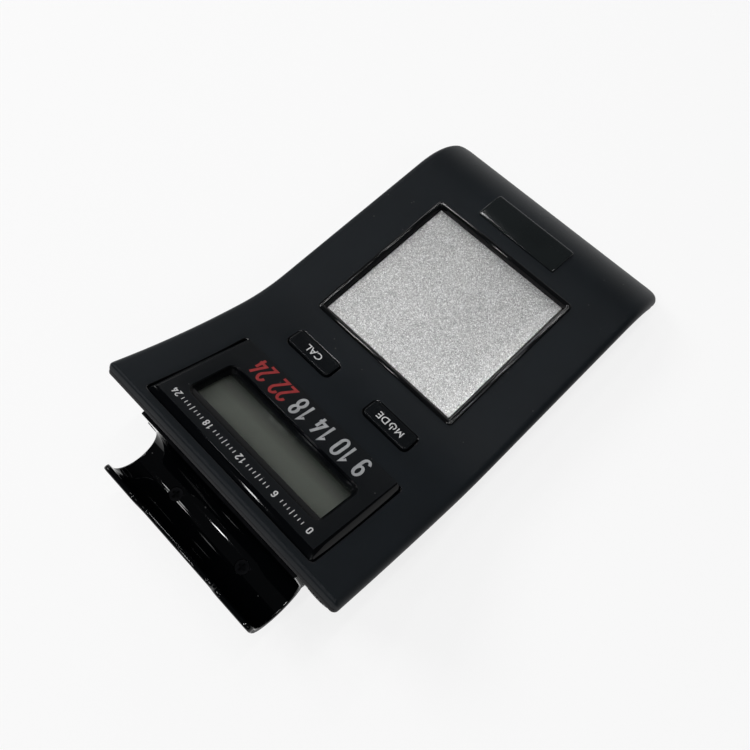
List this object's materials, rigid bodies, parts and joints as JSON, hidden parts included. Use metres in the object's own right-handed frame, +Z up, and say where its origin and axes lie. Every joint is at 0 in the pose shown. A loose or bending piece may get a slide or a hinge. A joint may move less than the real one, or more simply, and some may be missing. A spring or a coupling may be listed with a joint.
{
  "type": "electronic gold tester",
  "caption": "Counter-top electronic gold tester: waved black deck with a metal test plate, keys, a raised LCD pad and a pen channel behind the rim.",
  "frame": {"origin": "on the table under the centre of the bounding box; the feet stand on z = 0", "axes": "+X to the user's right, +Y from the nose to the pen channel at the back, +Z up"},
  "size_m": [0.1032, 0.1924, 0.0491],
  "materials": {
    "soft_touch_shell": "soft-touch coated, faint fine grain",
    "housing": "moulded, fine spark texture",
    "gloss_black": "polished, moulded",
    "black_screw": "blackened",
    "pad": "matt top, polished bevels",
    "window": "clear, polished",
    "lcd": "grey-green liquid crystal glass",
    "lcd_metal": "blackened sheet",
    "board": "solder mask",
    "steel_screw": "zinc plated",
    "plate": "fine blasted, sparkling",
    "contact": "spring strip",
    "key": "fine matt",
    "plunger": "moulded",
    "switch": "moulded",
    "chips": "moulded packages",
    "socket": "moulded",
    "socket_plastic": "moulded",
    "nut": "nickel plated",
    "battery": "plain wrapped can",
    "label": "domed resin",
    "rubber": "moulded"
  },
  "bodies": {
    "housing": {"top_cover": "soft_touch_shell", "under_tray": "housing", "lower_housing": "housing", "pen_cradle": "gloss_black", "cradle_screws": "black_screw", "display_bezel": "pad", "display_window": "window", "lcd_glass": "lcd", "lcd_frame": "lcd_metal", "lcd_board": "board", "lcd_screws": "steel_screw", "plate_surround": "gloss_black", "test_plate": "plate", "plate_contact": "contact", "cal_switch": "switch", "mode_switch": "switch", "key_board": "board", "key_board_screws": "steel_screw", "main_board": "board", "control_chips": "chips", "main_board_screws": "steel_screw", "probe_socket": "socket", "socket_nut": "nut", "power_socket": "socket_plastic", "power_pin": "nut", "battery": "battery", "battery_snap": "socket_plastic", "housing_screws": "black_screw", "name_label": "label", "rubber_feet": "rubber"},
    "cal_key": {"cal_button": "key", "cal_plunger": "plunger"},
    "mode_key": {"mode_button": "key", "mode_plunger": "plunger"},
    "battery_door": {"battery_door": "housing"}
  },
  "joints": [
    {"name": "cal_press", "type": "slide", "parent": "housing", "child": "cal_key", "axis": [0, 0.2748, -0.9615], "range_m": [0, 0.0008], "stiffness_N_per_m": 1000},
    {"name": "mode_press", "type": "slide", "parent": "housing", "child": "mode_key", "axis": [0, 0.2748, -0.9615], "range_m": [0, 0.0008], "stiffness_N_per_m": 1000},
    {"name": "battery_door_hinge", "type": "hinge", "parent": "housing", "child": "battery_door", "pos_m": [0, 0.04577, 0.0029], "axis": [-1, 0, 0], "range_deg": [0, 100]}
  ]
}
